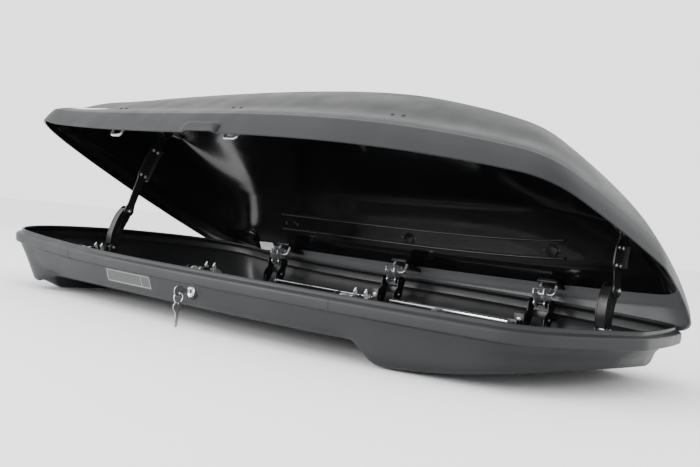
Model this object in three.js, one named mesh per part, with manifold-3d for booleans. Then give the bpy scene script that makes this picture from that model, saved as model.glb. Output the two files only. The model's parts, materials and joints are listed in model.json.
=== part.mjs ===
// Roof cargo box that opens from either long side, shown with its lid propped open.
// Millimetres, +X to the nose, +Z up. The origin is on the flat underside, under the middle.
import * as THREE from "three";
import { mergeVertices } from "three/addons/utils/BufferGeometryUtils.js";
import Module from "manifold-3d";

const wasm = await Module();
wasm.setup();

// ---------- driving dimensions ----------
const HALF_LENGTH = 900;             // middle to nose; the tail reaches a little further
const TAIL_X = -912;
const HALF_WIDTH = 420;
const RIM_Z = 86;                    // height of the tub's upper lip over the underside
const WALL = 4;
const GAP = 0.3;                     // between touching pieces
const LID_OPEN = THREE.MathUtils.degToRad(24.7);

const HINGE_Y = 338;                 // line of the lid's strikers, on both sides
const HINGE_Z = RIM_Z + 12;
const STATIONS = [-523, -45, 433];   // claw posts along the length

const LID_EDGE_Z = RIM_Z - 24;
const LID_HEIGHT = 297;              // over the lid's edge, at the highest place
const LID_END_DROP = 58;             // lower at the tail
const LID_NOSE_DROP = 80;
const LID_SPREAD = 2;                // lid outline over the nominal one
const TAIL_INSET = 128;              // how far the crown stops short of the tail
const NOSE_INSET = 254;

const BAND_INSET = 18;               // base rim band inside the nominal outline
const TAIL_RISE = 34;                // rim and lid edge, over their height amidships
const NOSE_FALL = 8;
const TAIL_LIFT = 8;                 // the lid's edge steps up round the tail
const SWING_ROOM = 12;               // the front corners keep clear of the turning lid
const KEEL_DROP = 39;
const KEEL_START = 448;
const KEEL_FULL = 520;
const FLOOR_NOSE_INSET = 74;         // the floor stops short of the nose
const BOW_START = 540;               // the keel's underside rises from here to the nose
const BOW_RISE = 28;
const BOW_LENGTH = 220;
const WEDGE_END = -635;
const WEDGE_FULL = -670;

const BAR_STATIONS = [-576, 280];    // roof bars
const CLAMP_Y = 130;
const KNOB_RADIUS = 26;
const WIRE = 4;                      // radius of the staples and pivot pins
const CLAW_RELEASED = 125;           // degrees, the opened side's claws turned down
const RING_RADIUS = 11;
const GRIP_X = -42;
const LABEL_X = -230;
const BADGE_TILT = 0.9;
const SIDES = [["near", -1], ["far", 1]];

// Folding stays: pivots in the YZ plane at rest, and the anchor on the closed lid.
const STAYS = [
  { label: "rear", x: -760, base: [-108, 74], elbow: [-70, 181], anchor: [-77, 258],
    roof: 272, floor: -12 },
  { label: "front", x: 715, base: [135, 58], elbow: [148, 140], anchor: [105, 163],
    roof: 177, floor: -4 },
];

const palette = {
  shell: { color: 0x4b4b4e, roughness: 0.6, metalness: 0 },
  tub: { color: 0x424245, roughness: 0.62, metalness: 0 },
  steelBlack: { color: 0x151516, roughness: 0.45, metalness: 0.3 },
  zinc: { color: 0xb9bcc0, roughness: 0.28, metalness: 0.9 },
  chrome: { color: 0xd9dadc, roughness: 0.12, metalness: 1 },
  knobGrey: { color: 0x8f9194, roughness: 0.5, metalness: 0 },
  blackPlastic: { color: 0x101012, roughness: 0.5, metalness: 0 },
  label: { color: 0x9a9c9e, roughness: 0.5, metalness: 0.1 },
};

const box = new THREE.Group();

function material(name) {
  return new THREE.MeshStandardMaterial(palette[name]);
}

function add(name, geometry, finish) {
  const mesh = new THREE.Mesh(geometry, material(finish));
  mesh.name = name;
  box.add(mesh);
  return mesh;
}

// ---------- joining and cutting ----------
function toSolid(geometry) {
  const bare = new THREE.BufferGeometry();
  bare.setAttribute("position", geometry.getAttribute("position").clone());
  if (geometry.index) bare.setIndex(geometry.index.clone());
  const merged = mergeVertices(bare, 1e-3);
  return new wasm.Manifold(new wasm.Mesh({
    numProp: 3,
    vertProperties: new Float32Array(merged.getAttribute("position").array),
    triVerts: new Uint32Array(merged.index.array),
  }));
}

function fromSolid(solid) {
  const mesh = solid.getMesh();
  const geometry = new THREE.BufferGeometry();
  geometry.setAttribute("position", new THREE.BufferAttribute(mesh.vertProperties, 3));
  geometry.setIndex(new THREE.BufferAttribute(mesh.triVerts, 1));
  geometry.computeVertexNormals();
  return geometry;
}

function join(...pieces) {
  return fromSolid(pieces.map(toSolid).reduce((whole, piece) => whole.add(piece)));
}

function cut(piece, ...tools) {
  return fromSolid(tools.map(toSolid).reduce((rest, tool) => rest.subtract(tool), toSolid(piece)));
}

// ---------- plain shapes, placed in the box's own frame ----------
function block(x0, x1, y0, y1, z0, z1) {
  const geometry = new THREE.BoxGeometry(x1 - x0, y1 - y0, z1 - z0);
  return geometry.translate((x0 + x1) / 2, (y0 + y1) / 2, (z0 + z1) / 2);
}

function rodX(x0, x1, y, z, radius, sides = 12) {
  const geometry = new THREE.CylinderGeometry(radius, radius, x1 - x0, sides);
  return geometry.rotateZ(Math.PI / 2).translate((x0 + x1) / 2, y, z);
}

function rodY(x, y0, y1, z, radius, sides = 16) {
  const geometry = new THREE.CylinderGeometry(radius, radius, y1 - y0, sides);
  return geometry.translate(x, (y0 + y1) / 2, z);
}

function rodZ(x, y, z0, z1, radius, sides = 16) {
  const geometry = new THREE.CylinderGeometry(radius, radius, z1 - z0, sides);
  return geometry.rotateX(Math.PI / 2).translate(x, y, (z0 + z1) / 2);
}

// A plate drawn in the YZ plane and given a thickness along X.
function plateYZ(shape, x0, x1) {
  const options = { depth: x1 - x0, bevelEnabled: false, curveSegments: 5 };
  const geometry = new THREE.ExtrudeGeometry(shape, options);
  const basis = new THREE.Matrix4().makeBasis(
    new THREE.Vector3(0, 1, 0), new THREE.Vector3(0, 0, 1), new THREE.Vector3(1, 0, 0));
  return geometry.applyMatrix4(basis).translate(x0, 0, 0);
}

function polygon(points) {
  return new THREE.Shape(points.map(([a, b]) => new THREE.Vector2(a, b)));
}

// A round-ended link between two points of the YZ plane.
function link(a, b, radius, x0, x1) {
  const angle = Math.atan2(b[1] - a[1], b[0] - a[0]);
  const shape = new THREE.Shape();
  shape.absarc(a[0], a[1], radius, angle + Math.PI / 2, angle + 1.5 * Math.PI, false);
  shape.absarc(b[0], b[1], radius, angle - Math.PI / 2, angle + Math.PI / 2, false);
  return plateYZ(shape, x0, x1);
}

// ---------- plan outline ----------
function sideY(x) {
  const run = Math.max(0, (x + 300) / 1063);
  return HALF_WIDTH - 87 * run ** 3.5;
}

// Half outline from the middle of the tail to the middle of the nose, on the +Y side.
function halfOutline() {
  const tail = new THREE.CubicBezierCurve(
    new THREE.Vector2(TAIL_X, 0), new THREE.Vector2(TAIL_X + 11, 245),
    new THREE.Vector2(TAIL_X + 60, HALF_WIDTH), new THREE.Vector2(TAIL_X + 175, HALF_WIDTH));
  const corner = new THREE.QuadraticBezierCurve(
    new THREE.Vector2(763, 333), new THREE.Vector2(826, 316), new THREE.Vector2(847, 250));
  const nose = new THREE.QuadraticBezierCurve(
    new THREE.Vector2(847, 250), new THREE.Vector2(886, 120), new THREE.Vector2(HALF_LENGTH, 0));
  const keel = [0, 1 / 3, 2 / 3, 1].map((share) => {
    const onFloor = THREE.MathUtils.lerp(KEEL_START, KEEL_FULL, share);
    return onFloor / (1 - FLOOR_NOSE_INSET / HALF_LENGTH);
  });
  const side = [WEDGE_FULL, WEDGE_END, -420, -180, 60, 280, ...keel, 620, 690];
  return [
    ...tail.getPoints(7),
    ...side.map((x) => new THREE.Vector2(x, sideY(x))),
    ...corner.getPoints(4),
    ...nose.getPoints(4).slice(1),
  ];
}

const half = halfOutline();
const outline = [...half, ...half.slice(1, -1).reverse().map((p) => new THREE.Vector2(p.x, -p.y))];

// Closed skin from rings that share the outline's points; the last ring is sewn across its own middle.
function skin(rings) {
  const count = outline.length;
  const points = rings.flat();
  const faces = [];
  for (let r = 0; r < rings.length - 1; r++) {
    for (let i = 0; i < count; i++) {
      const j = (i + 1) % count;
      const a = r * count + i;
      const b = r * count + j;
      faces.push(a, b, b + count, a, b + count, a + count);
    }
  }
  const cap = (first, flip) => {
    const last = half.length - 1;
    for (let i = 0; i < last; i++) {
      const a = first + i;
      const b = first + i + 1;
      const c = first + ((count - i - 1) % count);
      const d = first + ((count - i) % count);
      if (i === 0) faces.push(...(flip ? [a, c, b] : [a, b, c]));
      else if (i === last - 1) faces.push(...(flip ? [a, d, b] : [a, b, d]));
      else faces.push(...(flip ? [a, c, b, a, d, c] : [a, b, c, a, c, d]));
    }
  };
  cap(0, true);
  cap((rings.length - 1) * count, false);
  const geometry = new THREE.BufferGeometry();
  const coordinates = points.flatMap((p) => [p.x, p.y, p.z]);
  geometry.setAttribute("position", new THREE.Float32BufferAttribute(coordinates, 3));
  geometry.setIndex(faces);
  return geometry;
}

// The rim rises to the tail and falls a little to the nose.
function sheer(x) {
  const along = Math.abs(x) / HALF_LENGTH;
  return x < 0 ? TAIL_RISE * along ** 3 : -NOSE_FALL * along ** 2;
}

// ---------- lid ----------
// Half section: [share of the half width, share of the height], edge first, then the crease and the crown.
const LID_SECTION = [[1, 0], [0.991, 0.1], [0.972, 0.2], [0.938, 0.255], [0.83, 0.375], [0.771, 0.5],
  [0.7, 0.62], [0.607, 0.735], [0.49, 0.83], [0.33, 0.915], [0.15, 0.98]];

function lidHeight(u) {
  const peak = 0.15;
  if (u < peak) return LID_HEIGHT - LID_END_DROP * ((peak - u) / (1 + peak)) ** 2.2;
  return LID_HEIGHT - LID_NOSE_DROP * ((u - peak) / (1 - peak)) ** 2.6;
}

function lidSheer(x) {
  return sheer(x) + TAIL_LIFT * THREE.MathUtils.smoothstep(-x, 680, 790);
}

function lidPoint(p, width, rise, thin) {
  const inset = p.x < 0 ? TAIL_INSET * rise ** 2 : NOSE_INSET * rise ** 1.45;
  const spread = LID_SPREAD - thin;
  return new THREE.Vector3(
    p.x * (1 + (spread - inset) / HALF_LENGTH),
    p.y * (1 + spread / HALF_WIDTH) * width,
    LID_EDGE_Z + lidSheer(p.x) * (1 - rise) + rise * (lidHeight(p.x / HALF_LENGTH) - thin));
}

function lidRings(thin) {
  return LID_SECTION.map(([width, rise]) => outline.map((p) => lidPoint(p, width, rise, thin)));
}

// Inner half width of the closed lid at a place along the box and a height.
function lidInnerY(x, z) {
  const edge = new THREE.Vector2(x, sideY(x));
  const rows = LID_SECTION.map(([width, rise]) => lidPoint(edge, width, rise, WALL));
  const k = rows.findIndex((row) => row.z >= z);
  const share = (z - rows[k - 1].z) / (rows[k].z - rows[k - 1].z);
  return THREE.MathUtils.lerp(rows[k - 1].y, rows[k].y, share);
}

// Every lid piece is drawn with the lid closed, and the group is turned open about the far striker line.
const lid = new THREE.Group();
lid.position.set(0, HINGE_Y, HINGE_Z);
lid.rotation.x = -LID_OPEN;
box.add(lid);

function addLid(name, geometry, finish) {
  const mesh = add(name, geometry, finish);
  mesh.geometry.translate(0, -HINGE_Y, -HINGE_Z);
  lid.add(mesh);
}

addLid("lid_shell", fromSolid(toSolid(skin([...lidRings(0).reverse(), ...lidRings(WALL)]))), "shell");

// ---------- base tub ----------
function underside(x) {
  const ramp = (from, to) => THREE.MathUtils.smoothstep(x, from, to);
  const keel = KEEL_DROP * ramp(KEEL_START, KEEL_FULL);
  const bow = BOW_RISE * Math.max(0, (x - BOW_START) / BOW_LENGTH) ** 1.5;
  const wedge = (KEEL_DROP - 1) * (1 - ramp(WEDGE_FULL, WEDGE_END));
  return bow - keel - wedge;
}

// Rings of the outer skin, from the lip over the shoulder, band and undercut to the flat underside:
// insets from the outline at the sides, tail and nose, and a height that may follow the underside.
const TUB_RINGS = [
  { side: 30, tail: 14, nose: 24, z: () => RIM_Z },
  { side: 30, tail: 14, nose: 24, z: () => RIM_Z - 7 },
  { side: BAND_INSET, tail: 4, nose: 12, z: () => RIM_Z - 12 },
  { side: BAND_INSET + 1, tail: 5, nose: 13, z: () => RIM_Z - 32 },
  { side: 29, tail: 12, nose: 34, z: () => RIM_Z - 36 },
  { side: 36, tail: 44, nose: 64, z: (floor) => Math.max(RIM_Z - 58, floor + 20) },
  { side: 46, tail: 95, nose: 68, z: (floor) => floor + 9 },
  { side: 62, tail: 180, nose: FLOOR_NOSE_INSET, z: (floor) => floor },
];

function tubRings(thin) {
  return TUB_RINGS.map((ring, level) => outline.map((p) => {
    const inset = (p.x < 0 ? ring.tail : ring.nose) + thin;
    const x = p.x * (1 - inset / HALF_LENGTH);
    const swing = SWING_ROOM * THREE.MathUtils.smoothstep(p.x, 60, 760);
    const y = p.y * (1 - (ring.side + thin + swing) / HALF_WIDTH);
    const lift = level < 2 ? 0 : thin * Math.min(1, (level - 1) / 4);
    const rimShare = level < 5 ? 1 : Math.max(0, (7 - level) / 4);
    return new THREE.Vector3(x, y, ring.z(underside(x)) + lift + rimShare * sheer(p.x));
  }));
}

const clampSpots = BAR_STATIONS.flatMap((x) => [-CLAMP_Y, CLAMP_Y].map((y) => [x, y]));
const LOCK = new THREE.Vector3(22, -(HALF_WIDTH - 38), RIM_Z - 49);
const tubSkin = skin([...tubRings(WALL).reverse(), ...tubRings(0)]);
add("base_tub", cut(
  tubSkin,
  ...clampSpots.map(([x, y]) => rodZ(x, y, -5, 10, 7)),
  rodY(LOCK.x, LOCK.y - 20, LOCK.y + 20, LOCK.z, 13),
), "tub");

// ---------- lid fittings ----------
// Wire staples that the claws grip, each under a bracket that reaches to the lid's side wall.
function striker(x, side) {
  const wall = lidInnerY(x + 27, HINGE_Z + 34) - HINGE_Y - 3.4;
  const profile = [[-14, 26], [12, 26], [wall, 30], [wall, 34], [-14, 34]];
  const shape = polygon(profile.map(([dy, dz]) => [side * (HINGE_Y + dy), HINGE_Z + dz]));
  const bracket = plateYZ(shape, x - 27, x + 27);
  const y = side * HINGE_Y;
  const wire = rodX(x - 22, x + 22, y, HINGE_Z, WIRE, 10);
  const legs = [-22, 22].map((dx) => rodZ(x + dx, y, HINGE_Z - WIRE, HINGE_Z + 28, WIRE, 10));
  return join(bracket, wire, ...legs);
}

SIDES.forEach(([label, side]) => {
  STATIONS.forEach((x, i) => addLid(`striker_${label}_${i + 1}`, striker(x, side), "zinc"));
  const rail = [[0, 0], [10, 8], [10, 22], [0, 30], [-3, 22], [-3, 8]];
  const railZ = HINGE_Z + 100;
  const railY = lidInnerY(STATIONS[2], railZ + 30) - 13;
  const shape = polygon(rail.map(([dy, dz]) => [side * (railY + dy), railZ + dz - 22]));
  addLid(`lid_rail_${label}`, plateYZ(shape, STATIONS[0] - 40, STATIONS[2] + 40), "steelBlack");
  const grip = [[0, 0], [9, 4], [10, 20], [3, 25], [0, 22]];
  const gripY = (HALF_WIDTH + LID_SPREAD) * sideY(GRIP_X) / HALF_WIDTH + 0.5;
  const gripShape = polygon(grip.map(([dy, dz]) => [side * (gripY + dy), LID_EDGE_Z + 2 + dz]));
  addLid(`grip_${label}`, plateYZ(gripShape, GRIP_X - 62, GRIP_X + 62), "shell");
});

// Plain badge on the lid's shoulder, near the tail.
const badgePoint = lidPoint(new THREE.Vector2(-700, -sideY(-700)), 0.8, 0.44, 0);
const badgeLift = new THREE.Vector3(0, -4.6, 3.8);
const badge = new THREE.BoxGeometry(120, 26, 1.6).rotateX(BADGE_TILT);
addLid("badge_plate", badge.translate(...badgePoint.add(badgeLift)), "label");

// ---------- claw posts, claws and their rods ----------
const FLOOR_Z = 4;
const CLAW_Y = HINGE_Y - 14;
const CLAW_Z = HINGE_Z - 22;

function clawShape(side, turn) {
  const centre = new THREE.Vector2(side * CLAW_Y, CLAW_Z);
  const at = (radius, degrees) => {
    const angle = THREE.MathUtils.degToRad(degrees + turn);
    return new THREE.Vector2(centre.x + side * radius * Math.cos(angle), centre.y + radius * Math.sin(angle));
  };
  const arc = (radius, from, to, steps) => Array.from(
    { length: steps + 1 }, (_, i) => at(radius, from + (to - from) * i / steps));
  return new THREE.Shape([
    ...arc(10, -150, 15, 5),
    ...arc(20, 25, 100, 5),
    ...arc(32, 96, 30, 5),
    ...arc(39, 24, 118, 7),
    ...arc(11, 150, 180, 2),
  ]);
}

function claw(x, side, turn) {
  const shape = clawShape(side, turn);
  const plates = [-16, 13].map((dx) => plateYZ(shape, x + dx, x + dx + 3));
  const angle = THREE.MathUtils.degToRad(106 + turn);
  const bridge = new THREE.BoxGeometry(28, 13, 3).rotateX(side * (angle - Math.PI / 2));
  bridge.translate(x, side * (CLAW_Y + 36.2 * Math.cos(angle)), CLAW_Z + 36.2 * Math.sin(angle));
  const pin = rodX(x - 33, x + 33, side * CLAW_Y, CLAW_Z, WIRE, 12);
  return join(...plates, bridge, pin);
}

// Channel post, open to the inside of the box; its two cheeks carry the claw's pin.
function post(x, side) {
  const place = (points) => polygon(points.map(([dy, z]) => [side * (CLAW_Y + dy), z]));
  const foot = FLOOR_Z + GAP;
  const cheek = place([[-26, foot], [-20, foot], [-2, 17], [8, 40], [9, CLAW_Z - 16],
    [13, CLAW_Z - 8], [13, CLAW_Z + 4], [6, CLAW_Z + 11], [-6, CLAW_Z + 11],
    [-13, CLAW_Z + 3], [-13, CLAW_Z - 20], [-26, CLAW_Z - 34]]);
  const web = place([[5, 41], [8, 41], [9, CLAW_Z - 18], [6, CLAW_Z - 18]]);
  const sole = place([[-34, foot], [-20, foot], [-17, foot + 3], [-34, foot + 3]]);
  const cheeks = [-30, 27].map((dx) => plateYZ(cheek, x + dx, x + dx + 3));
  const pinHole = rodX(x - 40, x + 40, side * CLAW_Y, CLAW_Z, WIRE + GAP, 12);
  return cut(join(...cheeks, plateYZ(web, x - 30, x + 30), plateYZ(sole, x - 38, x + 38)), pinHole);
}

SIDES.forEach(([label, side]) => STATIONS.forEach((x, i) => {
  add(`post_${label}_${i + 1}`, post(x, side), "steelBlack");
  add(`claw_${label}_${i + 1}`, claw(x, side, side > 0 ? 0 : CLAW_RELEASED), "zinc");
}));

// A thin rod joins the first two mechanisms on each side, and a thick tube the last two.
const ROD_Y = CLAW_Y - 38;
const ROD_Z = 24;
SIDES.forEach(([label, side]) => {
  const thin = rodX(STATIONS[0] + 34, STATIONS[1] - 34, side * ROD_Y, ROD_Z, 3, 10);
  add(`thin_rod_${label}`, thin, "zinc");
  const tube = rodX(STATIONS[1] + 34, STATIONS[2] - 34, side * ROD_Y, ROD_Z, 7, 14);
  const clevis = block(STATIONS[2] - 60, STATIONS[2] - 32,
    side * ROD_Y - 9, side * ROD_Y + 9, ROD_Z - 9, ROD_Z + 9);
  add(`drive_tube_${label}`, join(tube, clevis), "chrome");
});

// ---------- folding lid stays ----------
function stay(spec) {
  const { label, x, base, elbow, top, floor } = spec;
  const cheeks = [-15, 12].map((dx) => plateYZ(polygon([[base[0] - 22, floor], [base[0] + 22, floor],
    [base[0] + 10, base[1] + 9], [base[0] - 10, base[1] + 9]]), x + dx, x + dx + 3));
  const web = block(x - 15, x + 15, base[0] - 22, base[0] + 22, floor, floor + 3);
  const footHole = rodX(x - 20, x + 20, ...base, WIRE + GAP);
  add(`stay_foot_${label}`, cut(join(...cheeks, web), footHole), "steelBlack");

  const sides = [-11, 8].map((dx) => link(base, elbow, 9, x + dx, x + dx + 3));
  const spine = link(base, elbow, 5, x - 9, x + 9);
  const pin = rodX(x - 18, x + 18, ...base, WIRE);
  add(`stay_lower_${label}`, join(...sides, spine, pin), "steelBlack");

  const bar = link(elbow, top, 9, x + 12, x + 16);
  const boss = rodX(x + 16, x + 21, ...elbow, 7);
  add(`stay_upper_${label}`, cut(join(bar, boss), rodX(x + 8, x + 24, ...top, WIRE + GAP)), "steelBlack");
}

// Where a point of the closed lid is once the lid is open.
function opened([y, z]) {
  const point = new THREE.Vector2(y - HINGE_Y, z - HINGE_Z).rotateAround(new THREE.Vector2(), -LID_OPEN);
  return [point.x + HINGE_Y, point.y + HINGE_Z];
}

function stayHanger({ label, x, anchor, roof }) {
  const [y, z] = anchor;
  const shape = polygon([[y - 20, roof], [y - 8, z - 8], [y + 8, z - 8], [y + 20, roof]]);
  const plate = plateYZ(shape, x + 18, x + 21);
  const seat = block(x - 10, x + 21, y - 20, y + 20, roof - 3, roof);
  addLid(`stay_hanger_${label}`, join(plate, seat, rodX(x + 9, x + 21, y, z, WIRE)), "steelBlack");
}

STAYS.forEach((spec) => {
  const top = opened(spec.anchor);
  stay({ ...spec, top });
  stayHanger(spec);
});

// ---------- lock, keys and label ----------
const lockFace = LOCK.y - 6;
add("lock_housing", cut(
  rodY(LOCK.x, lockFace, LOCK.y + 14, LOCK.z, 12.6, 24),
  rodY(LOCK.x, lockFace - 5, LOCK.y + 10, LOCK.z, 9.5 + GAP, 24)), "chrome");
add("lock_cylinder", cut(
  rodY(LOCK.x, lockFace - 1, LOCK.y + 9, LOCK.z, 9.5, 24),
  block(LOCK.x - 1.6, LOCK.x + 1.6, lockFace - 3, LOCK.y + 2, LOCK.z - 4.8, LOCK.z + 4.8)), "chrome");
const bowY = lockFace - 30;
const keyBow = cut(
  join(block(LOCK.x - 1.2, LOCK.x + 1.2, lockFace - 20, LOCK.y + 1, LOCK.z - 4.4, LOCK.z + 4.4),
    rodX(LOCK.x - 1.3, LOCK.x + 1.3, bowY, LOCK.z, 12, 18)),
  rodX(LOCK.x - 3, LOCK.x + 3, bowY, LOCK.z - 5, 3.4, 12));
add("lock_key", keyBow, "zinc");

const ringZ = LOCK.z - 5 - RING_RADIUS + 1.4;
const ring = new THREE.TorusGeometry(RING_RADIUS, 1.1, 6, 20).rotateY(Math.PI / 2);
ring.rotateZ(Math.PI / 2);
add("key_ring", ring.translate(LOCK.x, bowY, ringZ), "zinc");
const hangZ = ringZ - RING_RADIUS;
const spareShape = new THREE.Shape();
spareShape.absarc(bowY, hangZ - 8, 11, 0, 2 * Math.PI, false);
const spare = join(plateYZ(spareShape, LOCK.x - 1.1, LOCK.x + 1.1),
  block(LOCK.x - 1.1, LOCK.x + 1.1, bowY - 4, bowY + 4, hangZ - 52, hangZ - 16));
add("spare_key", cut(spare, rodX(LOCK.x - 3, LOCK.x + 3, bowY, hangZ - 0.6, 3, 12)), "zinc");

const labelY = -HALF_WIDTH + 34;
add("label_plate", block(LABEL_X - 90, LABEL_X + 90,
  labelY - 8.5, labelY - 7.5, RIM_Z - 70, RIM_Z - 38), "label");

// ---------- roof bar clamps ----------
// A knob under the floor's inside pulls a sliding jaw along, and the bar is held against the saddle's lip.
const JAW_BOTTOM = -25;
clampSpots.forEach(([x, y]) => {
  const name = `${x < 0 ? "rear" : "front"}_${y < 0 ? "near" : "far"}`;
  add(`clamp_knob_${name}`, join(
    rodZ(x, y, 12, 40, KNOB_RADIUS, 18),
    rodZ(x, y, FLOOR_Z + 2 * GAP, 12, 15, 14),
    rodZ(x, y, -14, 12, 5, 10)), "knobGrey");
  const saddle = join(
    block(x - 38, x + 38, y - 34, y + 34, -4.5, -GAP),
    block(x - 38, x - 32, y - 34, y + 34, JAW_BOTTOM, -GAP));
  add(`clamp_saddle_${name}`, cut(saddle, rodZ(x, y, -10, 10, 6)), "blackPlastic");
  const jaw = join(
    block(x + 20, x + 54, y - 30, y + 30, -8, -4.8),
    block(x + 48, x + 54, y - 30, y + 30, JAW_BOTTOM, -4.8));
  add(`clamp_jaw_${name}`, jaw, "steelBlack");
});

export default box;
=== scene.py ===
"""Roof cargo box propped open: fine shells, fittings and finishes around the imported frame.

Millimetres are used while shapes are worked out, and every mesh is written in metres.
"""
import json
import math

import bmesh
import bpy
import numpy as np
from mathutils import Matrix, Vector
from mathutils.bvhtree import BVHTree


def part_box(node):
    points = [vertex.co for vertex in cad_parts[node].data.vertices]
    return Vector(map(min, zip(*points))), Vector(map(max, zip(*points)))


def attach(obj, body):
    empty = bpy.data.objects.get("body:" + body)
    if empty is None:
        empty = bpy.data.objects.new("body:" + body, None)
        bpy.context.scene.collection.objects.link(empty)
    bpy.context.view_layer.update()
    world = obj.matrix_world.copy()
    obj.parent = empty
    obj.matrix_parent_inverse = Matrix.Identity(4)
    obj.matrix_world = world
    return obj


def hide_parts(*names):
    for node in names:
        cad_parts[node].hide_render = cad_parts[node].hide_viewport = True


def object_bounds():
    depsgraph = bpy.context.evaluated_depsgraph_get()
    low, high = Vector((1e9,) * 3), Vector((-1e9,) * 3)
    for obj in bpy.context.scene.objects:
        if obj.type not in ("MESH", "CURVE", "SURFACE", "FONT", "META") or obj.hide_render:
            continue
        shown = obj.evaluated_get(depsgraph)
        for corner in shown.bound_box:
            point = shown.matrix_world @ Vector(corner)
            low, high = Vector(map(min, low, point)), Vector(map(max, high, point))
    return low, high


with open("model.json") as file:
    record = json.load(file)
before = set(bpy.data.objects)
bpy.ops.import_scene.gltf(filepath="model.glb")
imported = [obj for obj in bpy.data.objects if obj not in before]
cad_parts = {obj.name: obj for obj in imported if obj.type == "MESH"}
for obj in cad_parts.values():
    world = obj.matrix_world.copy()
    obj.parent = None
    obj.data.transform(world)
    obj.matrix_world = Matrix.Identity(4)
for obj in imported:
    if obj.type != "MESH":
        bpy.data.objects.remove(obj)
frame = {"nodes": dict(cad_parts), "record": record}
cad_low, cad_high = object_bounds()
nodes = frame["nodes"]
MM = 0.001

# ---------- driving dimensions, as in the CAD source ----------
HALF_LENGTH = 900
HALF_WIDTH = 420
TAIL_X = -912
RIM_Z = 86
WALL = 4
GAP = 0.3
LID_OPEN = math.radians(24.7)
HINGE_Y = 338
HINGE_Z = RIM_Z + 12
STATIONS = (-523, -45, 433)
LID_EDGE_Z = RIM_Z - 24
LID_HEIGHT = 297
LID_END_DROP = 58
LID_NOSE_DROP = 80
LID_SPREAD = 2
TAIL_INSET = 128
NOSE_INSET = 254
BAND_INSET = 18
TAIL_RISE = 34
NOSE_FALL = 8
TAIL_LIFT = 8
SWING_ROOM = 12
KEEL_DROP = 39
KEEL_START = 448
KEEL_FULL = 520
FLOOR_NOSE_INSET = 74
BOW_START = 540
BOW_RISE = 28
BOW_LENGTH = 220
WEDGE_END = -635
WEDGE_FULL = -670
BAR_STATIONS = (-576, 280)
CLAMP_Y = 130
WIRE = 4
CLAW_RELEASED = 125
GRIP_X = -42
LABEL_X = -230
FLOOR_Z = 4
CLAW_Y = HINGE_Y - 14
CLAW_Z = HINGE_Z - 22
ROD_Y = CLAW_Y - 38
ROD_Z = 24
LOCK = Vector((22, -(HALF_WIDTH - 38), RIM_Z - 49))
SIDES = (("near", -1), ("far", 1))
# Pivots of the stays as (y, z); base and elbow with the lid open, anchor and roof with it shut.
STAYS = {
    "rear": {"x": -760, "base": (-108, 74), "elbow": (-70, 181), "anchor": (-77, 258), "roof": 272},
    "front": {"x": 715, "base": (135, 58), "elbow": (148, 140), "anchor": (105, 163), "roof": 177},
}

# ---------- driving dimensions of the finer shapes ----------
TAPER = 87                            # how far the plan's sides draw in towards the nose
TAPER_START = -300
TAPER_END = 763                       # where a side meets the rounded corner of the nose
LABEL_PLACE = (LABEL_X + 6, RIM_Z - 50)
LABEL_SIZE = (188, 31)
LABEL_MARGIN = (6, 3)
LABEL_END_CELL = 34
BADGE_PLACE = (-672, 206)
BADGE_SIZE = (150, 24)
STICKER_PLACE = (-672, HINGE_Z + 40)
STICKER_SIZE = (70, 17)
RIVET_Z = HINGE_Z + 70
LID_RAILS = ((HINGE_Z + 84, 3.2), (HINGE_Z + 118, 2.6))      # height and radius of each
BRACKET_Z = HINGE_Z + 98
BOSS_PLACE = (-730, HINGE_Z + 62)
SEAM_STATIONS = (-480, 430)
WIRE_BRACKET_STATIONS = (-800, -792)
TAIL_FEET = ((-690, -70), (-690, 70), (-650, -150), (-650, 150), (-606, -200), (-606, 200))
FLOOR_PLUGS = ((-330, -60), (-330, 60), (-150, -60), (-150, 60), (60, -60), (60, 60), (420, 0))
# Where rays start that look for a skin: outside the tub, outside the lid, and inside the lid.
TUB_RAY_Y = HALF_WIDTH + 60
LID_RAY_Y = HALF_WIDTH + 80
INNER_RAY_Y = 150


def smoothstep(x, low, high):
    t = np.clip((np.asarray(x, float) - low) / (high - low), 0, 1)
    return t * t * (3 - 2 * t)


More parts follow.
